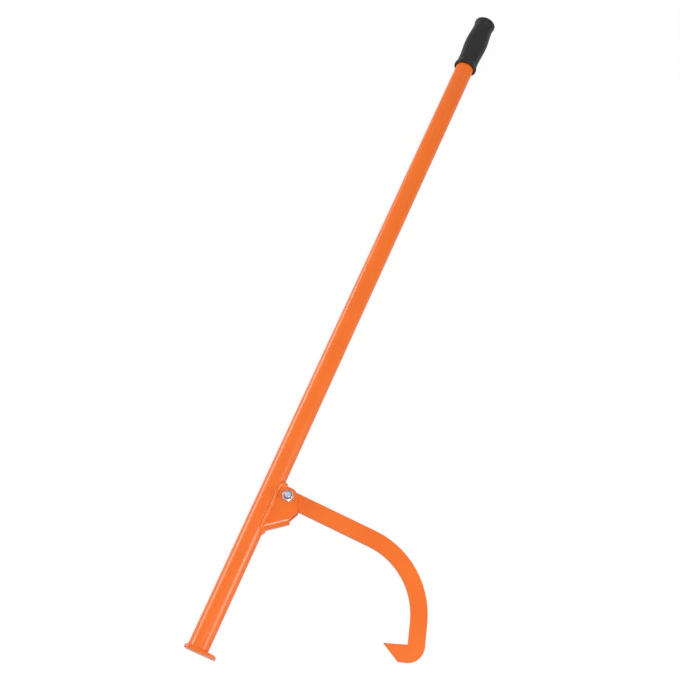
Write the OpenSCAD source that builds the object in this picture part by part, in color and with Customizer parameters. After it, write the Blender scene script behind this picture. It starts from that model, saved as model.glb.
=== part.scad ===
// Log roller: a steel tube with a swinging hook, for rolling and lifting logs.
// The tool lies flat. The tube runs along +Y from the sole of the toe plate at y = 0,
// the hook reaches out along +X, and the pivot bolt stands along +Z with its nut on top.
// The origin is the centre of the tube on the sole.

/* [Handle] */
// Overall length, from the sole to the end of the grip
tool_length = 1220; // [900:1:1500]
// Outside diameter of the tube
tube_od = 31.8; // [26:0.1:40]
// Wall thickness of the tube
tube_wall = 2; // [1.5:0.1:4]

/* [Grip] */
// Length of the rubber grip
grip_length = 111; // [95:1:180]
// Thickness of the grip's closed end
grip_end = 4; // [2:0.5:8]
// Rubber wall at the stop flange
flange_wall = 4.5; // [3:0.1:7]
// Length of the stop flange
flange_length = 4; // [3:0.5:8]
// Length of the slope behind the flange
flange_slope = 7; // [4:0.5:10]
// Rubber wall at the neck behind the flange
neck_wall = 2.5; // [1.5:0.1:2.9]
// Length of the straight neck
neck_length = 10; // [6:0.5:16]
// Rubber wall at the swell in the middle
swell_wall = 4.4; // [3:0.1:6]
// Where the swell is thickest, as a share of the grip's length
swell_share = 0.52; // [0.48:0.01:0.6]
// Rubber wall at the waist before the end bead
waist_wall = 1.8; // [1.4:0.1:2.4]
// Length of the slope from the waist to the end bead
bead_slope = 9; // [6:0.5:12]
// Rubber wall at the end bead
bead_wall = 3; // [2.5:0.1:5]
// Depth of the ring grooves
groove_depth = 0.6; // [0.3:0.1:1]
// Spacing of the ring grooves
groove_pitch = 4; // [3:0.5:5]
// Ring grooves on the neck
neck_grooves = 1; // [1:1:3]
// Ring grooves on the waist
waist_grooves = 3; // [1:1:4]

/* [Toe plate] */
// Thickness of the toe plate
toe_thickness = 5; // [4:0.5:12]
// Reach of the toe past the tube on the hook's side
toe_reach = 13; // [6:0.2:30]
// Margin of the toe past the tube on the other three sides
toe_margin = 2.5; // [2.5:0.1:8]
// Radius of the plate's corners
toe_corner_r = 10; // [4:0.5:14]
// Radius of the plate's upper edge
toe_edge_r = 1.5; // [0.5:0.1:3]

/* [Hook] */
// Width of the hook's bar
hook_width = 25; // [20:0.5:32]
// Thickness of the hook's bar
hook_thickness = 8; // [5:0.5:14]
// Straight arm, from the pivot to the bend
arm_length = 141; // [100:1:220]
// Radius of the bend, on the bar's centre line
bend_radius = 120; // [60:1:160]
// Angle of the bend
bend_angle = 71; // [55:1:85]
// Straight limb, from the bend to the claw's inner corner
limb_length = 33.5; // [10:0.5:80]
// Length of the claw's upper edge, from the inner corner to the point
claw_length = 35; // [28:0.5:60]
// How far the claw's upper edge falls off square
claw_droop = 3; // [0:1:15]
// Angle of the claw's point
point_angle = 45; // [35:1:60]
// How far the arm hangs below square to the tube, as stored
arm_lean = 3.3; // [0:0.1:10]

/* [Bracket] */
// Height of the pivot above the sole
pivot_height = 259; // [200:1:400]
// Thickness of the bracket's plate
plate_thickness = 6; // [4:0.5:8]
// Gap between the hook and each cheek
side_clearance = 1; // [0.4:0.1:2]
// Gap between the tube and the hook's eye
eye_clearance = 1.6; // [0.8:0.1:6]
// Metal of the cheek past the hook's eye
lobe_rim = 1.5; // [0.5:0.1:5]
// Slope of the web that joins the cheeks
web_slope = 37; // [25:1:50]
// Distance from the pivot to the web's outer face
web_distance = 39.8; // [34:0.2:60]
// Where the web ends, along its slope, measured back from the pivot
web_setback = 7; // [4:0.5:20]
// Outer radius of the folds
fold_radius = 8; // [6.5:0.5:9]
// Reach of the cheek's nose past the pivot
nose_reach = 18.2; // [15:0.1:30]
// Drop of the cheek's nose below the pivot
nose_drop = 15.5; // [10:0.5:22]
// Radius of the cheek's nose
nose_radius = 4; // [2:0.5:8]

/* [Pivot bolt] */
// Diameter of the bolt
bolt_d = 10; // [8:0.5:12]
// Gap between the bolt and the hook's hole
hook_fit = 0.1; // [0.05:0.01:0.1]
// Gap between the bolt and the cheeks' holes
cheek_fit = 0.25; // [0.1:0.05:0.5]
// Width of the bolt's head and of the nut across their flats
hex_af = 16; // [15:0.5:22]
// Height of the bolt's head
head_height = 6.4; // [5:0.1:9]
// Height of the nut's hexagon
nut_height = 7; // [5:0.1:12]
// Height of the nut's collar above the hexagon
collar_height = 3; // [2.6:0.1:5]
// Outside diameter of the nut's collar
collar_d = 14.6; // [14:0.1:15.8]
// Thickness of the nylon insert
insert_thickness = 2; // [1:0.1:2.2]
// Width of the nylon insert's ring
insert_width = 1.6; // [1:0.1:1.7]
// How far the collar's lip turns in over the insert
collar_lip = 0.6; // [0.4:0.1:0.8]
// How far the bolt stands out of the nut
bolt_end = 2.5; // [1:0.5:8]
// Bevel at the bolt's end
bolt_bevel = 1; // [0.5:0.1:2]

/* [Welds] */
// Radius of the weld beads on the bracket
bracket_bead_r = 4.6; // [3:0.1:6]
// How far the beads lap out along the cheeks' top edges
bead_lap = 5.5; // [2:0.5:8]
// Size of the weld bead round the foot of the tube
toe_bead_r = 1.8; // [1:0.1:2.4]
// How deep a bead's centre lies in its corner, as a share of its radius
bead_sink = 0.6; // [0.3:0.05:0.7]
// Length of one ripple of the bracket's beads, as a share of their radius
bead_ripple = 0.95; // [0.8:0.05:1.4]

/* [Hidden] */
$fn = 96;
// A hair more than a cut needs, so that no skin is left behind
past = 1;
// Gap between threads, and between the rubber and the tube
thread_fit = 0.05;
tube_r = tube_od / 2;
tube_length = tool_length - toe_thickness - grip_end;
grip_start = tool_length - grip_length;
pivot_x = tube_r + eye_clearance + hook_width / 2;
pivot = [pivot_x, pivot_height];
lobe_r = hook_width / 2 + lobe_rim;
bracket_gap = hook_thickness + 2 * side_clearance;
bracket_width = bracket_gap + 2 * plate_thickness;
cheek_face = bracket_width / 2;
// Where the outer faces of the cheeks meet the tube
cheek_root_x = sqrt(pow(tube_r, 2) - pow(cheek_face, 2));
insert_seat_r = bolt_d / 2 + thread_fit + insert_width;
bracket_ripple = bead_ripple * bracket_bead_r;

orange = [0.93, 0.34, 0.08];
zinc = [0.80, 0.80, 0.83];
rubber = [0.12, 0.12, 0.12];
nylon = [0.35, 0.40, 0.60];

// Turns a shape made along +Z so that it runs along the tube
module along_tube(height = 0) {
    translate([0, height, 0])
        rotate([-90, 0, 0])
            children();
}

// Places a flat or upright shape at the pivot
module at_pivot() {
    translate([pivot.x, pivot.y, 0])
        children();
}

// The space that the tube fills, without its bore
module tube_space() {
    along_tube(toe_thickness)
        cylinder(h = tube_length, r = tube_r);
}

module handle_tube() {
    color(orange)
        difference() {
            tube_space();
            along_tube(toe_thickness - past)
                cylinder(h = tube_length + 2 * past, r = tube_r - tube_wall);
        }
}

// Eases from one value to another as t runs from 0 to 1
function ease(from, to, t) = from + (to - from) * (1 - cos(180 * t)) / 2;

// Heights on the grip, from its open end, where the rubber's wall changes
neck_at = flange_length + flange_slope;
neck_end = neck_at + neck_length;
swell_at = grip_length * swell_share;
// The closed end is rounded over this much of the length
bead_round = bead_wall + 2;
bead_at = grip_length - bead_round;
waist_at = bead_at - bead_slope;

// Rubber wall at height s on the grip
function grip_wall_at(s) =
    s < flange_length ? flange_wall :
    s < neck_at ? ease(flange_wall, neck_wall, (s - flange_length) / flange_slope) :
    s < neck_end ? neck_wall :
    s < swell_at ? ease(neck_wall, swell_wall, (s - neck_end) / (swell_at - neck_end)) :
    s < waist_at ? ease(swell_wall, waist_wall, (s - swell_at) / (waist_at - swell_at)) :
    ease(waist_wall, bead_wall, (s - waist_at) / bead_slope);

// The grip's outline, from its open end to the start of the rounded end
module grip_profile() {
    steps = 40;
    rim = 1.5;
    bead_r = tube_r + bead_wall;
    polygon(concat(
        [[0, 0], [tube_r + flange_wall - rim, 0], [tube_r + flange_wall, rim]],
        [for (i = [0 : steps])
            let (s = flange_length + (bead_at - flange_length) * i / steps)
            [tube_r + grip_wall_at(s), s]],
        [for (a = [10 : 10 : 90])
            [bead_r - bead_round * (1 - cos(a)), bead_at + (bead_round - 1) * sin(a)]],
        [[0, grip_length]]
    ));
}

// A ring groove round the grip at each height, centred on the skin of the rubber
module grip_grooves(heights) {
    for (s = heights)
        rotate_extrude()
            translate([tube_r + grip_wall_at(s), s])
                circle(r = groove_depth, $fn = 24);
}

module hand_grip() {
    color(rubber)
        along_tube(grip_start)
            difference() {
                rotate_extrude()
                    grip_profile();
                grip_grooves([for (i = [0 : neck_grooves - 1]) neck_at + groove_pitch * i]);
                grip_grooves([for (i = [0 : waist_grooves - 1]) waist_at - groove_pitch * (i - 1)]);
                translate([0, 0, -past])
                    cylinder(h = grip_length - grip_end + past, r = tube_r + thread_fit);
            }
}

// Section of the toe plate's rim: a strip that is rounded at its upper outer edge
module rim_section(width) {
    intersection() {
        square([width, toe_thickness]);
        union() {
            square([width - toe_edge_r, toe_thickness]);
            square([width, toe_thickness - toe_edge_r]);
            translate([width - toe_edge_r, toe_thickness - toe_edge_r])
                circle(r = toe_edge_r);
        }
    }
}

// A plate with round corners and a rounded upper edge, standing on z = 0
module rounded_plate(low, high) {
    r = toe_corner_r;
    inner_low = [low.x + r, low.y + r];
    inner_high = [high.x - r, high.y - r];
    span = inner_high - inner_low;
    translate([inner_low.x, inner_low.y, 0])
        cube([span.x, span.y, toe_thickness]);
    for (x = [inner_low.x, inner_high.x])
        for (y = [inner_low.y, inner_high.y])
            translate([x, y, 0])
                rotate_extrude()
                    rim_section(r);
    for (side = [0, 1]) {
        // The two ends, whose rims run along Y
        translate([side == 0 ? inner_low.x : inner_high.x, inner_low.y, 0])
            mirror([1 - side, 0, 0])
                translate([0, span.y, 0])
                    rotate([90, 0, 0])
                        linear_extrude(span.y)
                            rim_section(r);
        // The two sides, whose rims run along X
        translate([inner_low.x, side == 0 ? inner_low.y : inner_high.y, 0])
            mirror([0, 1 - side, 0])
                rotate([90, 0, 90])
                    linear_extrude(span.x)
                        rim_section(r);
    }
}

module toe_plate() {
    back = tube_r + toe_margin;
    color(orange)
        along_tube()
            rounded_plate([-back, -back], [tube_r + toe_reach, back]);
}

// A bead of quarter-round section round the foot of the tube
module toe_weld() {
    color(orange)
        along_tube(toe_thickness)
            rotate_extrude()
                translate([tube_r, 0])
                    intersection() {
                        circle(r = toe_bead_r);
                        square(toe_bead_r);
                    }
}

// Points along an arc, at most 4 degrees apart
function arc(center, r, from, to) =
    let (steps = max(1, ceil(abs(to - from) / 4)))
    [for (i = [0 : steps])
        let (angle = from + (to - from) * i / steps)
        center + r * [cos(angle), sin(angle)]];

// The way that the left-hand tangent of two circles faces, going from a to b
function tangent_angle(a, ra, b, rb) =
    atan2(b.y - a.y, b.x - a.x) + acos((ra - rb) / norm(b - a));

// A point given along the web's slope and square to it, measured from the pivot
function on_web(along, up) = [
    along * cos(web_slope) - up * sin(web_slope),
    along * sin(web_slope) + up * cos(web_slope)];

// Side view of the bracket about the pivot, carried on into the tube
module cheek_outline() {
    root = -(pivot_x - cheek_root_x) - past;
    nose = [nose_reach, -nose_drop];
    notch = on_web(-web_setback + 2, plate_thickness - web_distance + 1);
    shoulder = tangent_angle([0, 0], lobe_r, nose, nose_radius);
    chin = tangent_angle(nose, nose_radius, notch, 0);
    polygon(concat(
        [[root, lobe_r]],
        arc([0, 0], lobe_r, 90, shoulder),
        arc(nose, nose_radius, shoulder, chin),
        [notch,
            on_web(-web_setback, plate_thickness - web_distance),
            on_web(-web_setback, -web_distance - past),
            [root, -(web_distance + 2 * past - root * sin(web_slope)) / cos(web_slope)]]));
}

// Section through a folded channel of the given width, open at the top
module channel_section(width, r, floor_at, height) {
    translate([-width / 2, floor_at + r])
        square([width, height - r]);
    translate([-width / 2 + r, floor_at])
        square([width - 2 * r, r]);
    for (x = [-1, 1])
        translate([x * (width / 2 - r), floor_at + r])
            circle(r = r);
}

// A long channel folded along the web's slope, before it is cut to outline
module folded_channel() {
    reach = 2 * (web_distance + pivot_x);
    rotate([0, 0, web_slope])
        rotate([0, 90, 0])
            linear_extrude(2 * reach, center = true)
                difference() {
                    channel_section(bracket_width, fold_radius, -web_distance, reach);
                    channel_section(bracket_gap, fold_radius - plate_thickness,
                        plate_thickness - web_distance, reach);
                }
}

module hook_bracket() {
    color(orange)
        difference() {
            at_pivot()
                intersection() {
                    folded_channel();
                    linear_extrude(bracket_width + 2 * past, center = true)
                        cheek_outline();
                }
            tube_space();
            at_pivot()
                cylinder(h = bracket_width + 2 * past, r = bolt_d / 2 + cheek_fit, center = true);
        }
}

// The space that the bracket's outline fills, with the gap between its cheeks
module bracket_space() {
    at_pivot()
        intersection() {
            linear_extrude(bracket_width, center = true)
                cheek_outline();
            rotate([0, 0, web_slope])
                translate([-web_distance - pivot_x, -web_distance, -bracket_width])
                    cube([4 * web_distance, 4 * web_distance, 2 * bracket_width]);
        }
}

// The gap between the cheeks, carried on past them
module gap_space() {
    at_pivot()
        cube([4 * web_distance, 4 * web_distance, bracket_gap], center = true);
}

// The way that the bracket's skin faces: 0 degrees on a cheek, round the fold to 90 on the web
function skin_normal(turn, side) = [
    sin(turn) * sin(web_slope),
    -sin(turn) * cos(web_slope),
    side * cos(turn)];

// Where the skin meets the tube: up is measured from the pivot, square to the web's slope
function on_tube(up, z) =
    let (x = sqrt(pow(tube_r, 2) - z * z))
    [x, pivot_height + (up + (x - pivot_x) * sin(web_slope)) / cos(web_slope), z];

// Sinks a point into the corner between the tube and a skin
function sunk(point, normal) =
    let (way = [point.x, 0, point.z] / tube_r + normal)
    point - bead_sink * bracket_bead_r * way / norm(way);

// Points along one fold, from the cheek to the web
function fold_points(side) =
    let (steps = ceil(fold_radius * PI / 2 / bracket_ripple))
    [for (i = [0 : steps])
        let (turn = 90 * i / steps)
        sunk(on_tube(fold_radius * (1 - sin(turn)) - web_distance,
                side * (cheek_face - fold_radius * (1 - cos(turn)))),
            skin_normal(turn, side))];

// Points along one cheek, from its top edge down to just short of the fold
function cheek_points(side) =
    let (
        top = pivot_height + lobe_r,
        foot = on_tube(fold_radius - web_distance, cheek_face).y,
        steps = ceil((top - foot) / bracket_ripple)
    )
    [for (i = [0 : steps - 1])
        sunk([cheek_root_x, top + (foot - top) * i / steps, side * cheek_face],
            skin_normal(0, side))];

// Points that lap out from the tube along one cheek's top edge
function lap_points(side) =
    let (start = cheek_points(side)[0], steps = ceil(bead_lap / bracket_ripple))
    [for (i = [1 : steps]) start + [bead_lap * i / steps, 0, 0]];

// Points across the flat of the web, between the ends of the folds
function web_points() =
    let (half = cheek_face - fold_radius, steps = ceil(2 * half / bracket_ripple))
    [for (i = [1 : steps - 1])
        sunk(on_tube(-web_distance, half * (2 * i / steps - 1)), skin_normal(90, 1))];

// A rippled bead through a list of points
module bead(points) {
    for (p = points)
        translate(p)
            sphere(r = bracket_bead_r, $fn = 32);
}

// Beads down the cheeks, each lapped over its cheek's top edge, and one round under the web
module bracket_welds() {
    color(orange)
        difference() {
            union() {
                difference() {
                    for (side = [-1, 1])
                        bead(concat(lap_points(side), cheek_points(side)));
                    gap_space();
                }
                bead(concat(fold_points(-1), web_points(), fold_points(1)));
            }
            tube_space();
            bracket_space();
        }
}

// A point on the hook's limb, given down the limb from the bend and outwards from its centre line
function on_limb(down, out) =
    [arm_length, -bend_radius]
    + (bend_radius + out) * [sin(bend_angle), cos(bend_angle)]
    + down * [cos(bend_angle), -sin(bend_angle)];

// The hook's side view about its pivot, with the arm along +X: up the outer edge, round the
// claw and back along the inner edge
module hook_outline() {
    half = hook_width / 2;
    bend = [arm_length, -bend_radius];
    heel = limb_length + hook_width;
    tip_down = limb_length + claw_length * sin(claw_droop);
    tip_out = -half - claw_length * cos(claw_droop);
    polygon(concat(
        arc([0, 0], half, 270, 90),
        arc(bend, bend_radius + half, 90, 90 - bend_angle),
        // The back of the claw is round about its inner corner
        arc(on_limb(limb_length, -half), hook_width, 90 - bend_angle, -bend_angle),
        [on_limb(heel, tip_out + (heel - tip_down) / tan(point_angle)),
            on_limb(tip_down, tip_out),
            on_limb(limb_length, -half)],
        arc(bend, bend_radius - half, 90 - bend_angle, 90)));
}

module hook() {
    color(orange)
        at_pivot()
            rotate([0, 0, -arm_lean])
                linear_extrude(hook_thickness, center = true)
                    difference() {
                        hook_outline();
                        circle(r = bolt_d / 2 + hook_fit);
                    }
}

// A hexagon standing on z = 0, with its corners turned off at the top
module hexagon(height) {
    corner_r = hex_af / 2 / cos(30);
    intersection() {
        cylinder(h = height, r = corner_r, $fn = 6);
        rotate_extrude()
            polygon([[0, 0], [corner_r, 0], [corner_r, height - (corner_r - hex_af / 2) / 2],
                [hex_af / 2 - 0.5, height], [0, height]]);
    }
}

module pivot_bolt() {
    shank = bracket_width + nut_height + collar_height + bolt_end;
    color(zinc)
        at_pivot()
            translate([0, 0, -cheek_face]) {
                mirror([0, 0, 1])
                    hexagon(head_height);
                rotate_extrude()
                    polygon([[0, -past], [bolt_d / 2, -past], [bolt_d / 2, shank - bolt_bevel],
                        [bolt_d / 2 - bolt_bevel, shank], [0, shank]]);
            }
}

module lock_nut() {
    seat = nut_height + collar_height - insert_thickness - collar_lip;
    bore = bolt_d / 2 + thread_fit;
    color(zinc)
        at_pivot()
            translate([0, 0, cheek_face])
                difference() {
                    union() {
                        hexagon(nut_height);
                        rotate_extrude()
                            polygon([[0, nut_height - past], [collar_d / 2, nut_height - past],
                                [collar_d / 2, nut_height + collar_height - 1.2],
                                [collar_d / 2 - 1, nut_height + collar_height],
                                [0, nut_height + collar_height]]);
                    }
                    translate([0, 0, -past])
                        cylinder(h = nut_height + collar_height + 2 * past, r = bore);
                    translate([0, 0, seat])
                        cylinder(h = insert_thickness, r = insert_seat_r);
                    // The lip over the insert leaves its inner half in view
                    translate([0, 0, seat])
                        cylinder(h = insert_thickness + collar_lip + past, r = insert_seat_r - collar_lip);
                }
}

module nut_insert() {
    seat = nut_height + collar_height - insert_thickness - collar_lip;
    color(nylon)
        at_pivot()
            translate([0, 0, cheek_face + seat])
                difference() {
                    cylinder(h = insert_thickness, r = insert_seat_r);
                    translate([0, 0, -past])
                        cylinder(h = insert_thickness + 2 * past, r = bolt_d / 2 + thread_fit);
                }
}

handle_tube();
hand_grip();
toe_plate();
toe_weld();
hook_bracket();
bracket_welds();
hook();
pivot_bolt();
lock_nut();
nut_insert();
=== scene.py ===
import math

import bmesh
import bpy
from mathutils import Matrix, Vector


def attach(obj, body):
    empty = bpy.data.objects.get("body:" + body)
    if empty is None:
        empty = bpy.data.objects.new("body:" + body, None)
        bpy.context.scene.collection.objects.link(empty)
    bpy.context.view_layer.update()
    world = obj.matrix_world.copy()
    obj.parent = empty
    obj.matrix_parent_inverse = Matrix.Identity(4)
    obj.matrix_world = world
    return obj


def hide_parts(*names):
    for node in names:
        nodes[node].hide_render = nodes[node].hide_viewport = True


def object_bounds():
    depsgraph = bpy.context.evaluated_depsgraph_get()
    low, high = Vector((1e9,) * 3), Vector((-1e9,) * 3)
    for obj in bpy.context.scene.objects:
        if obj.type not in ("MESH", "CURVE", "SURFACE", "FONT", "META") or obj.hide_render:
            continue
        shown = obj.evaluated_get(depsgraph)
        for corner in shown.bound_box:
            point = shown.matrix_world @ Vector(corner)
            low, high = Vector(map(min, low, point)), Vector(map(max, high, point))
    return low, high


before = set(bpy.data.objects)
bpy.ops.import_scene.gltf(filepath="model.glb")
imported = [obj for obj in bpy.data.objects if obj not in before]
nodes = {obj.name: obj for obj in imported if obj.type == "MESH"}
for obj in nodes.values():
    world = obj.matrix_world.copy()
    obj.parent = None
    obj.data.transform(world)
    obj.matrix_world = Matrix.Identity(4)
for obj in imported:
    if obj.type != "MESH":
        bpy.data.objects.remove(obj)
solid_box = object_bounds()

# Handle tube. A drawn steel tube, 31.8 mm across with a 2 mm wall, closed by the toe plate
# at one end and by the rubber grip at the other. It is sprayed with orange powder, which is
# baked to a tough, slightly pebbled coat.
tube_radius = 0.0159


def linear(hex_colour):
    """An sRGB hex colour as linear red, green, blue and alpha"""
    parts = [int(hex_colour[i:i + 2], 16) / 255 for i in (1, 3, 5)]
    return [p / 12.92 if p <= 0.04045 else ((p + 0.055) / 1.055) ** 2.4 for p in parts] + [1]


def add(tree, kind, settings=None, links=None):
    """Adds a node. Settings are its own fields or its sockets' values, links feed its sockets"""
    made = tree.nodes.new(kind)
    for name, value in (settings or {}).items():
        if isinstance(name, str) and name not in made.inputs:
            setattr(made, name, value)
        else:
            made.inputs[name].default_value = value
    for name, source in (links or {}).items():
        tree.links.new(source, made.inputs[name])
    return made


def new_material(name):
    """An empty material with its output, its surface shader and the object's own coordinates"""
    material = bpy.data.materials.new(name)
    material.use_nodes = True
    tree = material.node_tree
    tree.nodes.clear()
    shader = add(tree, "ShaderNodeBsdfPrincipled")
    add(tree, "ShaderNodeOutputMaterial", links={"Surface": shader.outputs["BSDF"]})
    place = add(tree, "ShaderNodeTexCoord").outputs["Object"]
    return material, tree, shader, place


def spots(tree, place, cells, inner, outer, left_bare):
    """Round spots, one to a cell of the pattern, with a share of the cells left bare"""
    cell = add(tree, "ShaderNodeTexVoronoi", {"feature": "F1", "Scale": cells},
               {"Vector": place})
    spot = add(tree, "ShaderNodeMapRange",
               {"From Min": inner, "From Max": outer, "To Min": 1, "To Max": 0},
               {"Value": cell.outputs["Distance"]})
    some = add(tree, "ShaderNodeMath", {"operation": "GREATER_THAN", 1: left_bare},
               {0: cell.outputs["Color"]})
    shown = add(tree, "ShaderNodeMath", {"operation": "MULTIPLY"},
                {0: spot.outputs["Result"], 1: some.outputs["Value"]})
    return shown.outputs["Value"]


# Where one colour is laid over another: its share, the two colours, and what comes of them
mix_share = 0
mix_under = 6
mix_over = 7
mix_out = 2


# Baked polyester powder coat: even and satin, with a low orange-peel ripple some 2 mm across,
# a fine tooth that spreads the shine, and cut edges that are softened by the coat's flow. The
# tooth is drawn at 0.7 mm, coarser than it is, so that it shows.
def powder_coat(name, edge_radius=0.0005, worn_at=None, weld_painted_sheen_and_pores=False):
    material, tree, shader, place = new_material(name)
    # The shade drifts a little along the steel, in clouds of some 7 cm
    cloud = add(tree, "ShaderNodeTexNoise", {"Scale": 14, "Detail": 3, "Roughness": 0.5},
                {"Vector": place})
    tint = add(tree, "ShaderNodeValToRGB", links={"Fac": cloud.outputs["Fac"]})
    tint.color_ramp.elements[0].position = 0.3
    tint.color_ramp.elements[0].color = linear("#EC690A")
    tint.color_ramp.elements[1].position = 0.7
    tint.color_ramp.elements[1].color = linear("#F26F0B")
    satin = add(tree, "ShaderNodeMapRange", {"To Min": 0.24, "To Max": 0.33},
                {"Value": cloud.outputs["Fac"]})
    tooth = add(tree, "ShaderNodeTexNoise", {"Scale": 1500, "Detail": 2}, {"Vector": place})
    peel = add(tree, "ShaderNodeTexNoise", {"Scale": 480, "Detail": 2, "Roughness": 0.45},
               {"Vector": place})

    # Grains of dust under the coat, about half a millimetre across and far apart
    dust = spots(tree, place, cells=120, inner=0.03, outer=0.06, left_bare=0.8)
    specked = add(tree, "ShaderNodeMix", {"data_type": "RGBA", mix_over: linear("#C4480F")},
                  {mix_share: dust, mix_under: tint.outputs["Color"]})
    colour = specked.outputs[mix_out]

    if worn_at is not None:
        # Where the steel digs into bark, the coat is scuffed through in flakes of 2 mm
        far = add(tree, "ShaderNodeVectorMath", {"operation": "DISTANCE", 1: worn_at},
                  {0: place})
        near = add(tree, "ShaderNodeMapRange",
                   {"From Min": 0.001, "From Max": 0.007, "To Min": 0.8, "To Max": 0.2},
                   {"Value": far.outputs["Value"]})
        flakes = add(tree, "ShaderNodeTexNoise", {"Scale": 420, "Detail": 4, "Roughness": 0.6},
                     {"Vector": place})
        bare = add(tree, "ShaderNodeMath", {"operation": "LESS_THAN"},
                   {0: flakes.outputs["Fac"], 1: near.outputs["Result"]})
        scuffed = add(tree, "ShaderNodeMix", {"data_type": "RGBA", mix_over: linear("#6E6A6C")},
                      {mix_share: bare.outputs["Value"], mix_under: colour})
        colour = scuffed.outputs[mix_out]

    if weld_painted_sheen_and_pores:
        # Pale patches of about 3 mm on the weld are painted sheen: a painted highlight on the
        # bead's face
        sheen_patches = add(tree, "ShaderNodeTexNoise", {"Scale": 330, "Detail": 2},
                      {"Vector": place})
        sheen_share = add(tree, "ShaderNodeMapRange",
                   {"From Min": 0.42, "From Max": 0.68, "To Min": 0, "To Max": 0.28},
                   {"Value": sheen_patches.outputs["Fac"]})
        painted_sheen = add(tree, "ShaderNodeMix", {"data_type": "RGBA", mix_over: linear("#FFA064")},
                   {mix_share: sheen_share.outputs["Result"], mix_under: colour})
        # Pores and flecks in the weld, about a millimetre across, painted dark: painted shade
        # inside the pores, and the flecks' own dark colour
        pore_shade_and_flecks = spots(tree, place, cells=330, inner=0.16, outer=0.34, left_bare=0.7)
        shaded_pores_and_flecks = add(tree, "ShaderNodeMix", {"data_type": "RGBA", mix_over: linear("#8F481F")},
                      {mix_share: pore_shade_and_flecks, mix_under: painted_sheen.outputs[mix_out]})
        colour = shaded_pores_and_flecks.outputs[mix_out]

    rounded = add(tree, "ShaderNodeBevel", {"samples": 6, "Radius": edge_radius})
    rippled = add(tree, "ShaderNodeBump", {"Strength": 1, "Distance": 0.00003},
                  {"Height": peel.outputs["Fac"], "Normal": rounded.outputs["Normal"]})
    toothed = add(tree, "ShaderNodeBump", {"Strength": 0.5, "Distance": 0.000008},
                  {"Height": tooth.outputs["Fac"], "Normal": rippled.outputs["Normal"]})
    raised = add(tree, "ShaderNodeBump", {"Strength": 0.6, "Distance": 0.00008},
                 {"Height": dust, "Normal": toothed.outputs["Normal"]})
    shader.inputs["IOR"].default_value = 1.54
    tree.links.new(colour, shader.inputs["Base Color"])
    tree.links.new(satin.outputs["Result"], shader.inputs["Roughness"])
    tree.links.new(raised.outputs["Normal"], shader.inputs["Normal"])
    return material


def finish_node(name, material):
    """Gives a solid of the frame its finish"""
    for slot in nodes[name].material_slots:
        slot.material = material


finish_node("handle_tube", powder_coat("powder_coat_tube"))

# Toe plate. A pressed steel plate, 5 mm thick, that caps the foot of the tube and reaches out
# on the hook's side. It is welded to the tube all round and coated with it.
toe_thickness = 0.005
finish_node("toe_plate", powder_coat("powder_coat_toe", edge_radius=0.0022))

# Weld round the tube's foot. A fillet of steel laid in one pass, whose end laps over its
# start, and which is coated with the rest. Each ripple is where the pool froze.
toe_bead_radius = 0.0018
toe_ripple_spacing = 0.0016
toe_ripple_height = 0.00028
toe_ripple_bow = 0.8
# In degrees: the pass starts at the back of the tube and goes on past its start
toe_pass_start = -90
toe_pass_turn = 372
toe_pass_step = 3


def growth_tree(name, start, sizes):
    """An empty tree that grows a piece from a mesh, with named sizes and a finish as inputs"""
    tree = bpy.data.node_groups.new(name, "GeometryNodeTree")
    face = tree.interface
    face.new_socket(name=start, in_out="INPUT", socket_type="NodeSocketGeometry")
    for size in sizes:
        face.new_socket(name=size, in_out="INPUT", socket_type="NodeSocketFloat")
    face.new_socket(name="Finish", in_out="INPUT", socket_type="NodeSocketMaterial")
    face.new_socket(name="Piece", in_out="OUTPUT", socket_type="NodeSocketGeometry")
    return tree, add(tree, "NodeGroupInput").outputs


def end_growth(tree, shape, finish):
    """Ends a tree: its shape is shaded smooth, made real and given its finish"""
    smooth = add(tree, "GeometryNodeSetShadeSmooth", links={"Geometry": shape})
    real = add(tree, "GeometryNodeRealizeInstances",
               links={"Geometry": smooth.outputs["Geometry"]})
    finished = add(tree, "GeometryNodeSetMaterial",
                   links={"Geometry": real.outputs["Geometry"], "Material": finish})
    add(tree, "NodeGroupOutput", links={"Piece": finished.outputs["Geometry"]})
    return tree


def ripple_crests(tree, given, along, side, spot, texture, shift):
    """Crests of a bead's ripples, which bow back at its sides. No two are quite alike"""
    bow = add(tree, "ShaderNodeMath", {"operation": "MULTIPLY"},
              {0: side, 1: given["Ripple bow"]})
    step = add(tree, "ShaderNodeMath", {"operation": "DIVIDE"},
               {0: along, 1: given["Ripple spacing"]})
    phase = add(tree, "ShaderNodeMath", {"operation": "SUBTRACT"},
                {0: step.outputs["Value"], 1: bow.outputs["Value"]})
    uneven = add(tree, "ShaderNodeTexNoise", texture, {"Vector": spot})
    shifted = add(tree, "ShaderNodeMath", {"operation": "MULTIPLY_ADD", 1: shift},
                  {0: uneven.outputs["Fac"], 2: phase.outputs["Value"]})
    turn = add(tree, "ShaderNodeMath", {"operation": "MULTIPLY", 1: math.pi},
               {0: shifted.outputs["Value"]})
    wave = add(tree, "ShaderNodeMath", {"operation": "SINE"}, {0: turn.outputs["Value"]})
    crest = add(tree, "ShaderNodeMath", {"operation": "ABSOLUTE"}, {0: wave.outputs["Value"]})
    return crest.outputs["Value"]


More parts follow.
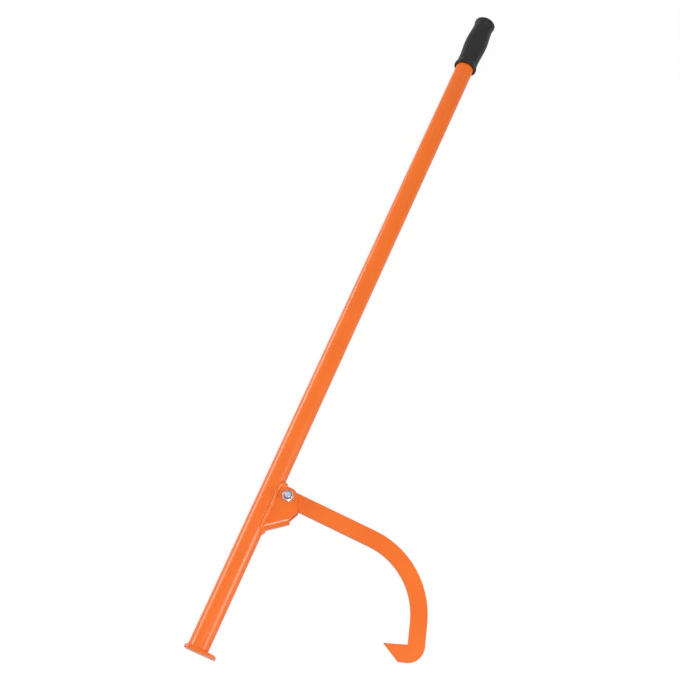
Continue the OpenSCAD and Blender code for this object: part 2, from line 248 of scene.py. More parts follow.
def weld_bead_tree():
    """Sweeps a rippled bead along the edges of a mesh, with rounded ends"""
    tree, given = growth_tree("weld_bead", "Path", (
        "Bead radius", "Ripple spacing", "Ripple height", "Ripple bow",
        "Hook gap", "Hook gap height"))
    line = add(tree, "GeometryNodeMeshToCurve", links={"Mesh": given["Path"]})
    # Eight steps draw the curve of one ripple
    fine = add(tree, "ShaderNodeMath", {"operation": "DIVIDE", 1: 8},
               {0: given["Ripple spacing"]})
    even = add(tree, "GeometryNodeResampleCurve", {"mode": "LENGTH"},
               {"Curve": line.outputs["Curve"], "Length": fine.outputs["Value"]})
    along = add(tree, "GeometryNodeSplineParameter")
    kept = add(tree, "GeometryNodeCaptureAttribute", {"domain": "POINT"})
    kept.capture_items.new("FLOAT", "Along")
    tree.links.new(even.outputs["Curve"], kept.inputs["Geometry"])
    tree.links.new(along.outputs["Length"], kept.inputs["Along"])

    # The radius closes at both ends as a ball's does, but a fiftieth of it is left at the tips
    tip = 0.02
    whole = add(tree, "GeometryNodeSplineLength")
    left = add(tree, "ShaderNodeMath", {"operation": "SUBTRACT"},
               {0: whole.outputs["Length"], 1: along.outputs["Length"]})
    to_end = add(tree, "ShaderNodeMath", {"operation": "MINIMUM"},
                 {0: left.outputs["Value"], 1: along.outputs["Length"]})
    share = add(tree, "ShaderNodeMath", {"operation": "DIVIDE", "use_clamp": True},
                {0: to_end.outputs["Value"], 1: given["Bead radius"]})
    short = add(tree, "ShaderNodeMath", {"operation": "SUBTRACT", 0: 1},
                {1: share.outputs["Value"]})
    square = add(tree, "ShaderNodeMath", {"operation": "MULTIPLY"},
                 {0: short.outputs["Value"], 1: short.outputs["Value"]})
    rest = add(tree, "ShaderNodeMath", {"operation": "SUBTRACT", 0: 1 + tip ** 2},
               {1: square.outputs["Value"]})
    tapered = add(tree, "ShaderNodeMath", {"operation": "SQRT"}, {0: rest.outputs["Value"]})
    ring = add(tree, "GeometryNodeCurvePrimitiveCircle", {"Resolution": 28},
               {"Radius": given["Bead radius"]})
    swept = add(tree, "GeometryNodeCurveToMesh", {"Fill Caps": True},
                {"Curve": kept.outputs["Geometry"], "Profile Curve": ring.outputs["Curve"],
                 "Scale": tapered.outputs["Value"]})

    # Ripples bow back down the sides of the bead, away from its crown
    spot = add(tree, "GeometryNodeInputPosition").outputs["Position"]
    flat = add(tree, "ShaderNodeVectorMath", {"operation": "MULTIPLY", 1: (1, 0, 1)}, {0: spot})
    out = add(tree, "ShaderNodeVectorMath", {"operation": "NORMALIZE"},
              {0: flat.outputs["Vector"]})
    facing = add(tree, "GeometryNodeInputNormal")
    crown = add(tree, "ShaderNodeVectorMath", {"operation": "DOT_PRODUCT"},
                {0: out.outputs["Vector"], 1: facing.outputs["Normal"]})
    side = add(tree, "ShaderNodeMath", {"operation": "SUBTRACT", 0: 1},
               {1: crown.outputs["Value"]})
    crests = ripple_crests(tree, given, kept.outputs["Along"], side.outputs["Value"], spot,
                           texture={"Scale": 260, "Detail": 1}, shift=1)
    below = add(tree, "ShaderNodeMath", {"operation": "SUBTRACT", 1: 1}, {0: crests})
    # The bead stands a little higher where the hand dwelt, about every 5 mm
    dwell = add(tree, "ShaderNodeTexNoise", {"Scale": 190, "Detail": 2}, {"Vector": spot})
    low = add(tree, "ShaderNodeMath", {"operation": "SUBTRACT", 1: 0.75},
              {0: dwell.outputs["Fac"]})
    level = add(tree, "ShaderNodeMath", {"operation": "ADD"},
                {0: below.outputs["Value"], 1: low.outputs["Value"]})
    dip = add(tree, "ShaderNodeMath", {"operation": "MULTIPLY"},
              {0: level.outputs["Value"], 1: given["Ripple height"]})
    offset = add(tree, "ShaderNodeVectorMath", {"operation": "SCALE"},
                 {0: facing.outputs["Normal"], "Scale": dip.outputs["Value"]})
    rippled = add(tree, "GeometryNodeSetPosition",
                  links={"Geometry": swept.outputs["Mesh"], "Offset": offset.outputs["Vector"]})

    # Near the cheeks, nothing of the bead stands in the hook's gap
    parts = add(tree, "ShaderNodeSeparateXYZ", links={"Vector": spot})
    size = add(tree, "ShaderNodeMath", {"operation": "ABSOLUTE"}, {0: parts.outputs["Z"]})
    clear = add(tree, "ShaderNodeMath", {"operation": "MAXIMUM"},
                {0: size.outputs["Value"], 1: given["Hook gap"]})
    sign = add(tree, "ShaderNodeMath", {"operation": "SIGN"}, {0: parts.outputs["Z"]})
    moved = add(tree, "ShaderNodeMath", {"operation": "MULTIPLY"},
                {0: clear.outputs["Value"], 1: sign.outputs["Value"]})
    back = add(tree, "ShaderNodeCombineXYZ",
               links={"X": parts.outputs["X"], "Y": parts.outputs["Y"],
                      "Z": moved.outputs["Value"]})
    above = add(tree, "ShaderNodeMath", {"operation": "GREATER_THAN"},
                {0: parts.outputs["Y"], 1: given["Hook gap height"]})
    opened = add(tree, "GeometryNodeSetPosition",
                 links={"Geometry": rippled.outputs["Geometry"],
                        "Selection": above.outputs["Value"],
                        "Position": back.outputs["Vector"]})
    return end_growth(tree, opened.outputs["Geometry"], given["Finish"])


def grown(name, seed, tree, values):
    """Grows a piece from a mesh with a tree of nodes, as a plain mesh"""
    source = bpy.data.objects.new(name + "_seed", seed)
    bpy.context.collection.objects.link(source)
    growth = source.modifiers.new("growth", "NODES")
    growth.node_group = tree
    sockets = {s.name: s.identifier for s in tree.interface.items_tree if s.in_out == "INPUT"}
    for socket, value in values.items():
        growth[sockets[socket]] = value
    ready = source.evaluated_get(bpy.context.evaluated_depsgraph_get())
    mesh = bpy.data.meshes.new_from_object(ready)
    mesh.name = name
    piece = bpy.data.objects.new(name, mesh)
    bpy.context.collection.objects.link(piece)
    bpy.data.objects.remove(source)
    return piece


def laid_bead(name, path, material, radius, spacing, height, bow, gap=0.0, gap_height=10.0):
    """Lays a weld bead along a list of points, and out of the hook's gap above a height"""
    seed = bpy.data.meshes.new(name + "_path")
    seed.from_pydata(path, [(i, i + 1) for i in range(len(path) - 1)], [])
    return grown(name, seed, bead_tree,
                 {"Bead radius": radius, "Ripple spacing": spacing, "Ripple height": height,
                  "Ripple bow": bow, "Hook gap": gap, "Hook gap height": gap_height,
                  "Finish": material})


bead_tree = weld_bead_tree()
foot_path = []
for turn in range(toe_pass_start, toe_pass_start + toe_pass_turn + 1, toe_pass_step):
    foot_path.append((tube_radius * math.cos(math.radians(turn)), toe_thickness,
                      tube_radius * math.sin(math.radians(turn))))
toe_bead = laid_bead("toe_bead", foot_path,
                     powder_coat("powder_coat_toe_weld", edge_radius=0.0002),
                     toe_bead_radius, toe_ripple_spacing, toe_ripple_height, toe_ripple_bow)
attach(toe_bead, "lever")
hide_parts("toe_weld")

# Bracket. One plate of 6 mm steel, cut to outline and folded into two cheeks joined by a
# sloping web. It saddles the tube and carries the pivot.
finish_node("hook_bracket", powder_coat("powder_coat_bracket", edge_radius=0.0006))

# Welds of the bracket. One pass starts over a cheek's top edge and runs down its joint with
# the tube, round the fold, under the web, where it is laid fuller, and up the other cheek.
# It is steel, left as it was laid, with its ripples, and coated with the rest.
pivot = Vector((0.030, 0.259, 0))
cheek_face = 0.011
cheek_top = 0.014
fold_radius = 0.008
web_distance = 0.0398
web_slope = math.radians(37)
web_skin = Vector((math.sin(web_slope), -math.cos(web_slope), 0))
web_way = Vector((math.cos(web_slope), math.sin(web_slope), 0))
# Leg on the tube, leg on the bracket and fullness of the crown, on a cheek and under the web
cheek_fillet = Vector((0.0036, 0.0034, 0.0036))
web_fillet = Vector((0.0064, 0.0048, 0.0020))
# Over this last length of a cheek's joint the bead leans round towards the web's slope
lean_length = 0.015
# The bead's edges dip just under the skin of the steel, and its root lies deeper
edge_dip = 0.0002
root_depth = 0.0012
section_step = 0.00035
section_points = 12


def joint_point(up, z):
    """Where the bracket's skin meets the tube, given square to the web's slope and across"""
    x = math.sqrt(tube_radius ** 2 - z ** 2)
    y = pivot.y + (up + (x - pivot.x) * math.sin(web_slope)) / math.cos(web_slope)
    return Vector((x, y, z))


def eased(share):
    """A share from 0 to 1 that starts and ends gently"""
    return (1 - math.cos(math.pi * min(1, max(0, share)))) / 2


def joint_sections(side):
    """Corner, skin's facing, way along the skin and fillet, from a cheek's top to mid web"""
    sections = []
    foot = joint_point(fold_radius - web_distance, side * cheek_face)
    top = Vector((foot.x, pivot.y + cheek_top, foot.z))
    count = round((top - foot).length / section_step)
    for i in range(count):
        corner = top.lerp(foot, i / count)
        near_foot = eased(1 - (corner.y - foot.y) / lean_length)
        way = Vector((1, 0, 0)).lerp(web_way, near_foot).normalized()
        sections.append((corner, Vector((0, 0, side)), way, cheek_fillet))
    count = round(fold_radius * math.pi / 2 / section_step)
    for i in range(count):
        angle = math.pi / 2 * i / count
        skin = Vector((math.sin(angle) * math.sin(web_slope),
                       -math.sin(angle) * math.cos(web_slope), side * math.cos(angle)))
        up = fold_radius * (1 - math.sin(angle)) - web_distance
        z = side * (cheek_face - fold_radius * (1 - math.cos(angle)))
        fillet = cheek_fillet.lerp(web_fillet, eased(i / count))
        sections.append((joint_point(up, z), skin, web_way, fillet))
    flat = cheek_face - fold_radius
    count = round(flat / section_step)
    for i in range(count):
        z = side * flat * (1 - i / count)
        sections.append((joint_point(-web_distance, z), web_skin, web_way, web_fillet))
    return sections


def outward(mesh):
    """Turns all faces of a closed mesh outwards"""
    skin = bmesh.new()
    skin.from_mesh(mesh)
    bmesh.ops.recalc_face_normals(skin, faces=skin.faces)
    skin.to_mesh(mesh)
    skin.free()
    return mesh


def fillet_mesh(name, sections):
    """A smooth closed fillet through the sections, which carries how far along and across"""
    points = []
    alongs = []
    acrosses = []
    reach = 0
    for i, (corner, skin, way, fillet) in enumerate(sections):
        before = sections[max(0, i - 1)][0]
        after = sections[min(len(sections) - 1, i + 1)][0]
        reach += (corner - before).length
        tube = Vector((corner.x, 0, corner.z)).normalized()
        down = (after - before).cross(tube).normalized()
        if down.dot(skin) < 0:
            down.negate()
        on_tube = corner + fillet[0] * down
        inward = (tube_radius - edge_dip) / math.hypot(on_tube.x, on_tube.z)
        on_tube = Vector((on_tube.x * inward, on_tube.y, on_tube.z * inward))
        on_skin = corner + fillet[1] * way - edge_dip * skin
        crown = (tube + skin).normalized()
        full = corner + fillet[2] * crown
        for j in range(section_points + 1):
            t = j / section_points
            points.append((1 - t) ** 2 * on_tube + 2 * t * (1 - t) * full + t ** 2 * on_skin)
            acrosses.append(t)
        points.append(corner - root_depth * crown)
        acrosses.append(0)
        alongs += [reach] * (section_points + 2)
    ring = section_points + 2
    faces = []
    for i in range(len(sections) - 1):
        for j in range(ring):
            k = (j + 1) % ring
            faces.append((i * ring + j, i * ring + k, (i + 1) * ring + k, (i + 1) * ring + j))
    faces.append(tuple(range(ring)))
    faces.append(tuple(range((len(sections) - 1) * ring, len(sections) * ring)))
    mesh = bpy.data.meshes.new(name)
    mesh.from_pydata([tuple(p) for p in points], [], faces)
    mesh.attributes.new("along", "FLOAT", "POINT").data.foreach_set("value", alongs)
    mesh.attributes.new("across", "FLOAT", "POINT").data.foreach_set("value", acrosses)
    return outward(mesh)


def weld_ripple_tree():
    """Lays ripples into the face of a fillet, bowed back at its edges"""
    tree, given = growth_tree("weld_ripples", "Fillet", (
        "Ripple spacing", "Ripple height", "Ripple bow", "Unevenness"))
    along = add(tree, "GeometryNodeInputNamedAttribute", {"data_type": "FLOAT", "Name": "along"})
    across = add(tree, "GeometryNodeInputNamedAttribute",
                 {"data_type": "FLOAT", "Name": "across"})
    centred = add(tree, "ShaderNodeMath", {"operation": "MULTIPLY_ADD", 1: 2, 2: -1},
                  {0: across.outputs["Attribute"]})
    side = add(tree, "ShaderNodeMath", {"operation": "MULTIPLY"},
               {0: centred.outputs["Value"], 1: centred.outputs["Value"]})
    spot = add(tree, "GeometryNodeInputPosition").outputs["Position"]
    crests = ripple_crests(tree, given, along.outputs["Attribute"], side.outputs["Value"], spot,
                           texture={"Scale": 150, "Detail": 2}, shift=1.6)
    ripple = add(tree, "ShaderNodeMath", {"operation": "MULTIPLY"},
                 {0: crests, 1: given["Ripple height"]})
    # The bead stands a little higher where the hand dwelt, about every centimetre
    dwell = add(tree, "ShaderNodeTexNoise", {"Scale": 95, "Detail": 2}, {"Vector": spot})
    level = add(tree, "ShaderNodeMath", {"operation": "MULTIPLY_ADD"},
                {0: dwell.outputs["Fac"], 1: given["Unevenness"],
                 2: ripple.outputs["Value"]})
    edge = add(tree, "ShaderNodeMath", {"operation": "SUBTRACT", 0: 1, "use_clamp": True},
               {1: side.outputs["Value"]})
    height = add(tree, "ShaderNodeMath", {"operation": "MULTIPLY"},
                 {0: level.outputs["Value"], 1: edge.outputs["Value"]})
    facing = add(tree, "GeometryNodeInputNormal")
    offset = add(tree, "ShaderNodeVectorMath", {"operation": "SCALE"},
                 {0: facing.outputs["Normal"], "Scale": height.outputs["Value"]})
    rippled = add(tree, "GeometryNodeSetPosition",
                  links={"Geometry": given["Fillet"], "Offset": offset.outputs["Vector"]})
    return end_growth(tree, rippled.outputs["Geometry"], given["Finish"])


# This weld coat carries painted light: a painted highlight in pale patches and painted shade in
# its pores
bracket_weld_coat_with_painted_light = powder_coat("powder_coat_bracket_weld_painted_light", edge_radius=0.0002, weld_painted_sheen_and_pores=True)
bracket_sections = joint_sections(1)
bracket_sections.append((joint_point(-web_distance, 0), web_skin, web_way, web_fillet))
bracket_sections += reversed(joint_sections(-1))
bracket_bead = grown("bracket_bead", fillet_mesh("bracket_fillet", bracket_sections),
                     weld_ripple_tree(),
                     {"Ripple spacing": 0.0028, "Ripple height": 0.00042, "Ripple bow": 0.8,
                      "Unevenness": 0.0012, "Finish": bracket_weld_coat_with_painted_light})
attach(bracket_bead, "lever")
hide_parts("bracket_welds")

# Ends of the pass. At both ends the bead is built up to a rounded lump. It starts out on the
# cheek's top edge, runs in to the tube and turns down the joint, clear of the hook's gap.
lump_radius = 0.0056
lump_centre = Vector((0.0104, pivot.y + cheek_top - 0.0004, 0.0085))
lump_reach = 0.0132
lump_reach_steps = 8
lump_drop_step = 0.0012
lump_drop_steps = 6
lump_ripple_spacing = 0.0042
lump_ripple_height = 0.0005
lump_ripple_bow = 0.9
gap_half = 0.00505
gap_foot = 0.262
for name, side in (("upper_lap", 1), ("lower_lap", -1)):
    lap_path = [(lump_centre.x + lump_reach * i / lump_reach_steps, lump_centre.y,
                 side * lump_centre.z) for i in range(lump_reach_steps, -1, -1)]
    lap_path += [(lump_centre.x, lump_centre.y - lump_drop_step * i,
                  side * lump_centre.z) for i in range(1, lump_drop_steps + 1)]
    lap = laid_bead(name, lap_path, bracket_weld_coat_with_painted_light, lump_radius, lump_ripple_spacing,
                    lump_ripple_height, lump_ripple_bow, gap_half, gap_foot)
    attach(lap, "lever")
    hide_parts("bracket_welds")

# Hook. A flat bar of steel, 25 by 8 mm, bent round with a sharp claw cut at its end, and
# coated as the handle is. Its eye turns on the pivot bolt between the cheeks.
claw_height = 0.12
claw = [v.co for v in nodes["hook"].data.vertices if v.co.y < claw_height]
claw_tip = min(claw, key=lambda point: point.x)
finish_node("hook", powder_coat("powder_coat_hook", edge_radius=0.0012,
                                worn_at=(claw_tip.x, claw_tip.y, 0)))

# Pivot bolt. A hexagon-headed steel bolt of 10 mm, bright zinc plated. It goes through both
# cheeks and the hook's eye, and its end stands out of the nut.
thread_rise = 0.0015
thread_root = 0.0041
thread_crest = 0.0047
thread_depth = 0.0012


# Electroplated zinc: bright, cool with a trace of colour, and faintly clouded over some 6 mm.
# Its grain is drawn at 0.4 mm, coarser than it is, so that it shows.
def zinc_plate(name, tint):
    material, tree, shader, place = new_material(name)
    cloud = add(tree, "ShaderNodeTexNoise", {"Scale": 160, "Detail": 3}, {"Vector": place})
    shade = add(tree, "ShaderNodeValToRGB", links={"Fac": cloud.outputs["Fac"]})
    shade.color_ramp.elements[0].position = 0.3
    shade.color_ramp.elements[0].color = linear(tint)
    shade.color_ramp.elements[1].position = 0.75
    shade.color_ramp.elements[1].color = linear("#E2E0E6")
    worn = add(tree, "ShaderNodeMapRange", {"To Min": 0.26, "To Max": 0.42},
               {"Value": cloud.outputs["Fac"]})
    grain = add(tree, "ShaderNodeTexNoise", {"Scale": 2600, "Detail": 2}, {"Vector": place})
    rounded = add(tree, "ShaderNodeBevel", {"samples": 6, "Radius": 0.0003})
    bump = add(tree, "ShaderNodeBump", {"Strength": 0.6, "Distance": 0.00001},
               {"Height": grain.outputs["Fac"], "Normal": rounded.outputs["Normal"]})
    shader.inputs["Metallic"].default_value = 1
    tree.links.new(shade.outputs["Color"], shader.inputs["Base Color"])
    tree.links.new(worn.outputs["Result"], shader.inputs["Roughness"])
    tree.links.new(bump.outputs["Normal"], shader.inputs["Normal"])
    return material


# The thread of a 10 mm bolt rises 1.5 mm a turn, and shows where the bolt stands out of the nut
bolt_zinc = zinc_plate("zinc_plate_bolt", "#C3BED0")
bolt_tree = bolt_zinc.node_tree
bolt_place = add(bolt_tree, "ShaderNodeTexCoord").outputs["Object"]
from_axis = add(bolt_tree, "ShaderNodeVectorMath", {"operation": "SUBTRACT", 1: pivot},
                {0: bolt_place})
bolt_parts = add(bolt_tree, "ShaderNodeSeparateXYZ", links={"Vector": from_axis.outputs["Vector"]})
bolt_angle = add(bolt_tree, "ShaderNodeMath", {"operation": "ARCTAN2"},
                 {0: bolt_parts.outputs["Y"], 1: bolt_parts.outputs["X"]})
bolt_turn = add(bolt_tree, "ShaderNodeMath", {"operation": "DIVIDE", 1: 2 * math.pi},
                {0: bolt_angle.outputs["Value"]})
bolt_rise = add(bolt_tree, "ShaderNodeMath", {"operation": "DIVIDE", 1: thread_rise},
                {0: bolt_parts.outputs["Z"]})
bolt_phase = add(bolt_tree, "ShaderNodeMath", {"operation": "SUBTRACT"},
                 {0: bolt_rise.outputs["Value"], 1: bolt_turn.outputs["Value"]})
bolt_ridge = add(bolt_tree, "ShaderNodeMath", {"operation": "PINGPONG", 1: 0.5},
                 {0: bolt_phase.outputs["Value"]})
bolt_flat = add(bolt_tree, "ShaderNodeVectorMath", {"operation": "MULTIPLY", 1: (1, 1, 0)},
                {0: from_axis.outputs["Vector"]})
bolt_out = add(bolt_tree, "ShaderNodeVectorMath", {"operation": "LENGTH"},
               {0: bolt_flat.outputs["Vector"]})
bolt_rim = add(bolt_tree, "ShaderNodeMapRange",
               {"From Min": thread_root, "From Max": thread_crest},
               {"Value": bolt_out.outputs["Value"]})
bolt_above = add(bolt_tree, "ShaderNodeMath", {"operation": "GREATER_THAN", 1: cheek_face},
                 {0: bolt_parts.outputs["Z"]})
bolt_shown = add(bolt_tree, "ShaderNodeMath", {"operation": "MULTIPLY"},
                 {0: bolt_rim.outputs["Result"], 1: bolt_above.outputs["Value"]})
bolt_height = add(bolt_tree, "ShaderNodeMath", {"operation": "MULTIPLY"},
                  {0: bolt_ridge.outputs["Value"], 1: bolt_shown.outputs["Value"]})
bolt_shader = bolt_tree.nodes["Principled BSDF"]
bolt_bump = add(bolt_tree, "ShaderNodeBump", {"Strength": 1, "Distance": thread_depth},
                {"Height": bolt_height.outputs["Value"],
                 "Normal": bolt_shader.inputs["Normal"].links[0].from_socket})
bolt_tree.links.new(bolt_bump.outputs["Normal"], bolt_shader.inputs["Normal"])
finish_node("pivot_bolt", bolt_zinc)

# Lock nut. A hexagon with a collar rolled in over a nylon ring, which grips the bolt's
# thread so that the joint can turn without the nut working loose. It is zinc plated too.
finish_node("lock_nut", zinc_plate("zinc_plate_nut", "#C9C5CE"))

# Nylon ring of the lock nut. Moulded nylon, smooth and waxy, with faint clouds of 2 to 3 mm. Its
# blue grey is darkened to paint in the shade of the gap between the bolt and the collar. The
# rolled collar holds it in the nut.
nylon, nylon_tree, nylon_shader, nylon_place = new_material("moulded_nylon_painted_shade")
nylon_cloud = add(nylon_tree, "ShaderNodeTexNoise", {"Scale": 400, "Detail": 2},
                  {"Vector": nylon_place})
nylon_tint_and_shade = add(nylon_tree, "ShaderNodeValToRGB", links={"Fac": nylon_cloud.outputs["Fac"]})
# These dark blue greys include painted shade from the gap round the bolt
nylon_tint_and_shade.color_ramp.elements[0].color = linear("#2E3140")
nylon_tint_and_shade.color_ramp.elements[1].color = linear("#3C4052")
nylon_bump = add(nylon_tree, "ShaderNodeBump", {"Strength": 0.5, "Distance": 0.00003},
                 {"Height": nylon_cloud.outputs["Fac"]})
nylon_shader.inputs["Roughness"].default_value = 0.42
nylon_tree.links.new(nylon_tint_and_shade.outputs["Color"], nylon_shader.inputs["Base Color"])
nylon_tree.links.new(nylon_bump.outputs["Normal"], nylon_shader.inputs["Normal"])
finish_node("nut_insert", nylon)

# Hand grip. A black rubber sleeve with a closed, beaded end, pushed over the tube. It is
# moulded in one piece, with a stop flange at its open end, ring grooves, and a diamond pattern
# on its swell that keeps a wet hand from slipping.
grip_start = 1.109
grip_length = 0.111
grip_bore = tube_radius + 0.00005
grip_segments = 312
flange_height = 0.004
flange_round = 0.0015
bead_height = 0.106
bead_round = 0.005
end_wall = 0.004
end_crown = 0.001
# Heights from the open end and the rubber's wall there: flange, neck, swell, waist, end bead
grip_walls = [(flange_height, 0.0045), (0.011, 0.0025), (0.021, 0.0025), (0.05772, 0.0044),
              (0.097, 0.0018), (bead_height, 0.003)]
grip_rings = [0.011, 0.093, 0.097, 0.101]
ring_depth = 0.0009
wall_step = 0.0006
# Diamonds 5.3 mm wide and 8.5 mm long, in a band on the swell whose cuts fade out at its ends
diamonds_round = 24
diamond_length = 0.0085
diamond_depth = 0.00035
band_start = grip_start + 0.027
band_end = grip_start + 0.086
band_edge = 0.004
# The cuts are kept to the outside, past this radius
skin_radius = 0.017


def grip_radius(height):
    """Radius of the grip at a height, with its ring grooves"""
    wall = grip_walls[0][1]
    for (low, from_wall), (high, to_wall) in zip(grip_walls, grip_walls[1:]):
        if low <= height <= high:
            wall = from_wall + (to_wall - from_wall) * eased((height - low) / (high - low))
    for ring in grip_rings:
        if abs(height - ring) < ring_depth:
            wall -= math.sqrt(ring_depth ** 2 - (height - ring) ** 2)
    return tube_radius + wall


# The outline runs from the closed end's inside down the bore, round the flange's edge, up the
# outside, round the end bead and in over the crowned end. Ten steps draw each ring groove.
wall_steps = round((bead_height - flange_height) / wall_step)
grip_heights = [flange_height + i * wall_step for i in range(wall_steps + 1)]
for ring in grip_rings:
    grip_heights += [ring + ring_depth * k / 5 for k in range(-5, 6)]
grip_heights = sorted(h for h in set(grip_heights) if h < bead_height)
flange_radius = grip_radius(flange_height)
grip_outline = [(0, grip_length - end_wall), (grip_bore, grip_length - end_wall), (grip_bore, 0)]
for turn in range(0, 91, 15):
    angle = math.radians(turn)
    grip_outline.append((flange_radius - flange_round * (1 - math.sin(angle)),
                         flange_round * (1 - math.cos(angle))))
grip_outline += [(grip_radius(h), h) for h in grip_heights]
for turn in range(0, 91, 6):
    angle = math.radians(turn)
    grip_outline.append((grip_radius(bead_height) - bead_round * (1 - math.cos(angle)),
                         bead_height + (bead_round - end_crown) * math.sin(angle)))
end_radius = grip_outline[-1][0]
for share in (0.8, 0.6, 0.4, 0.2, 0):
    grip_outline.append((end_radius * share, grip_length - end_crown * share ** 2))


def turned(name, outline, start, segments):
    """A closed mesh turned about the tube's axis from pairs of radius and height"""
    points = []
    rings = []
    for radius, height in outline:
        first = len(points)
        count = segments if radius > 0 else 1
        for i in range(count):
            angle = 2 * math.pi * i / segments
            points.append((radius * math.sin(angle), start + height, radius * math.cos(angle)))
        rings.append(range(first, first + count))
    faces = []
    for low, high in zip(rings, rings[1:]):
        for i in range(segments):
            j = (i + 1) % segments
            corners = [low[i % len(low)], low[j % len(low)], high[j % len(high)],
                       high[i % len(high)]]
            faces.append(list(dict.fromkeys(corners)))
    mesh = bpy.data.meshes.new(name)
    mesh.from_pydata(points, [], faces)
    return outward(mesh)


def diamond_relief_tree():
    """Cuts a pattern of raised diamonds into a band of a turned surface"""
    tree, given = growth_tree("diamond_relief", "Surface", (
        "Diamonds round", "Waves per metre", "Cut depth", "Band start", "Band end",
        "Band edge", "Skin radius"))
    spot = add(tree, "GeometryNodeInputPosition").outputs["Position"]
    parts = add(tree, "ShaderNodeSeparateXYZ", links={"Vector": spot})
    angle = add(tree, "ShaderNodeMath", {"operation": "ARCTAN2"},
                {0: parts.outputs["X"], 1: parts.outputs["Z"]})
    half = add(tree, "ShaderNodeMath", {"operation": "DIVIDE", 1: 2},
               {0: given["Diamonds round"]})
    around = add(tree, "ShaderNodeMath", {"operation": "MULTIPLY"},
                 {0: angle.outputs["Value"], 1: half.outputs["Value"]})
    lengthwise = add(tree, "ShaderNodeMath", {"operation": "MULTIPLY"},
                     {0: parts.outputs["Y"], 1: given["Waves per metre"]})
    cuts = []
    for way in ("ADD", "SUBTRACT"):
        slant = add(tree, "ShaderNodeMath", {"operation": way},
                    {0: around.outputs["Value"], 1: lengthwise.outputs["Value"]})
        wave = add(tree, "ShaderNodeMath", {"operation": "SINE"}, {0: slant.outputs["Value"]})
        cuts.append(add(tree, "ShaderNodeMath", {"operation": "ABSOLUTE"},
                        {0: wave.outputs["Value"]}))
    nearest = add(tree, "ShaderNodeMath", {"operation": "MINIMUM"},
                  {0: cuts[0].outputs["Value"], 1: cuts[1].outputs["Value"]})
    groove = add(tree, "ShaderNodeMapRange",
                 {"interpolation_type": "SMOOTHSTEP", "From Min": 0.08, "From Max": 0.5,
                  "To Min": -1, "To Max": 0},
                 {"Value": nearest.outputs["Value"]})
    past_start = add(tree, "ShaderNodeMath", {"operation": "SUBTRACT"},
                     {0: parts.outputs["Y"], 1: given["Band start"]})
    before_end = add(tree, "ShaderNodeMath", {"operation": "SUBTRACT"},
                     {0: given["Band end"], 1: parts.outputs["Y"]})
    inside = add(tree, "ShaderNodeMath", {"operation": "MINIMUM"},
                 {0: past_start.outputs["Value"], 1: before_end.outputs["Value"]})
    band = add(tree, "ShaderNodeMath", {"operation": "DIVIDE", "use_clamp": True},
               {0: inside.outputs["Value"], 1: given["Band edge"]})
    flat = add(tree, "ShaderNodeVectorMath", {"operation": "MULTIPLY", 1: (1, 0, 1)}, {0: spot})
    out = add(tree, "ShaderNodeVectorMath", {"operation": "LENGTH"},
              {0: flat.outputs["Vector"]})
    outside = add(tree, "ShaderNodeMath", {"operation": "GREATER_THAN"},
                  {0: out.outputs["Value"], 1: given["Skin radius"]})
    shown = add(tree, "ShaderNodeMath", {"operation": "MULTIPLY"},
                {0: band.outputs["Value"], 1: groove.outputs["Result"]})
    depth = add(tree, "ShaderNodeMath", {"operation": "MULTIPLY"},
                {0: shown.outputs["Value"], 1: given["Cut depth"]})
    facing = add(tree, "GeometryNodeInputNormal")
    offset = add(tree, "ShaderNodeVectorMath", {"operation": "SCALE"},
                 {0: facing.outputs["Normal"], "Scale": depth.outputs["Value"]})
    cut = add(tree, "GeometryNodeSetPosition",
              links={"Geometry": given["Surface"], "Selection": outside.outputs["Value"],
                     "Offset": offset.outputs["Vector"]})
    return end_growth(tree, cut.outputs["Geometry"], given["Finish"])


# Moulded rubber: near black and matt, with a grain from the mould and a faint bloom over some
# 2 cm. The grain is drawn at 1 mm, coarser than it is, so that it shows.
rubber, rubber_tree, rubber_shader, rubber_place = new_material("moulded_rubber")
grain = add(rubber_tree, "ShaderNodeTexNoise", {"Scale": 900, "Detail": 4, "Roughness": 0.6},
            {"Vector": rubber_place})
bloom = add(rubber_tree, "ShaderNodeTexNoise", {"Scale": 60, "Detail": 4},
            {"Vector": rubber_place})
rubber_tint = add(rubber_tree, "ShaderNodeValToRGB", links={"Fac": bloom.outputs["Fac"]})
rubber_tint.color_ramp.elements[0].position = 0.35
rubber_tint.color_ramp.elements[0].color = linear("#0B0B0B")
rubber_tint.color_ramp.elements[1].position = 0.75
rubber_tint.color_ramp.elements[1].color = linear("#121212")
matt = add(rubber_tree, "ShaderNodeMapRange", {"To Min": 0.36, "To Max": 0.5},
           {"Value": bloom.outputs["Fac"]})
grained = add(rubber_tree, "ShaderNodeBump", {"Strength": 0.7, "Distance": 0.00005},
              {"Height": grain.outputs["Fac"]})
rubber_tree.links.new(rubber_tint.outputs["Color"], rubber_shader.inputs["Base Color"])
rubber_tree.links.new(matt.outputs["Result"], rubber_shader.inputs["Roughness"])
rubber_tree.links.new(grained.outputs["Normal"], rubber_shader.inputs["Normal"])

grip_blank = turned("grip_sleeve_blank", grip_outline, grip_start, grip_segments)
grip_sleeve = grown("grip_sleeve", grip_blank, diamond_relief_tree(),
                    {"Diamonds round": float(diamonds_round),
                     "Waves per metre": math.pi / diamond_length, "Cut depth": diamond_depth,
                     "Band start": band_start, "Band end": band_end, "Band edge": band_edge,
                     "Skin radius": skin_radius, "Finish": rubber})
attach(grip_sleeve, "lever")
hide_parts("hand_grip")

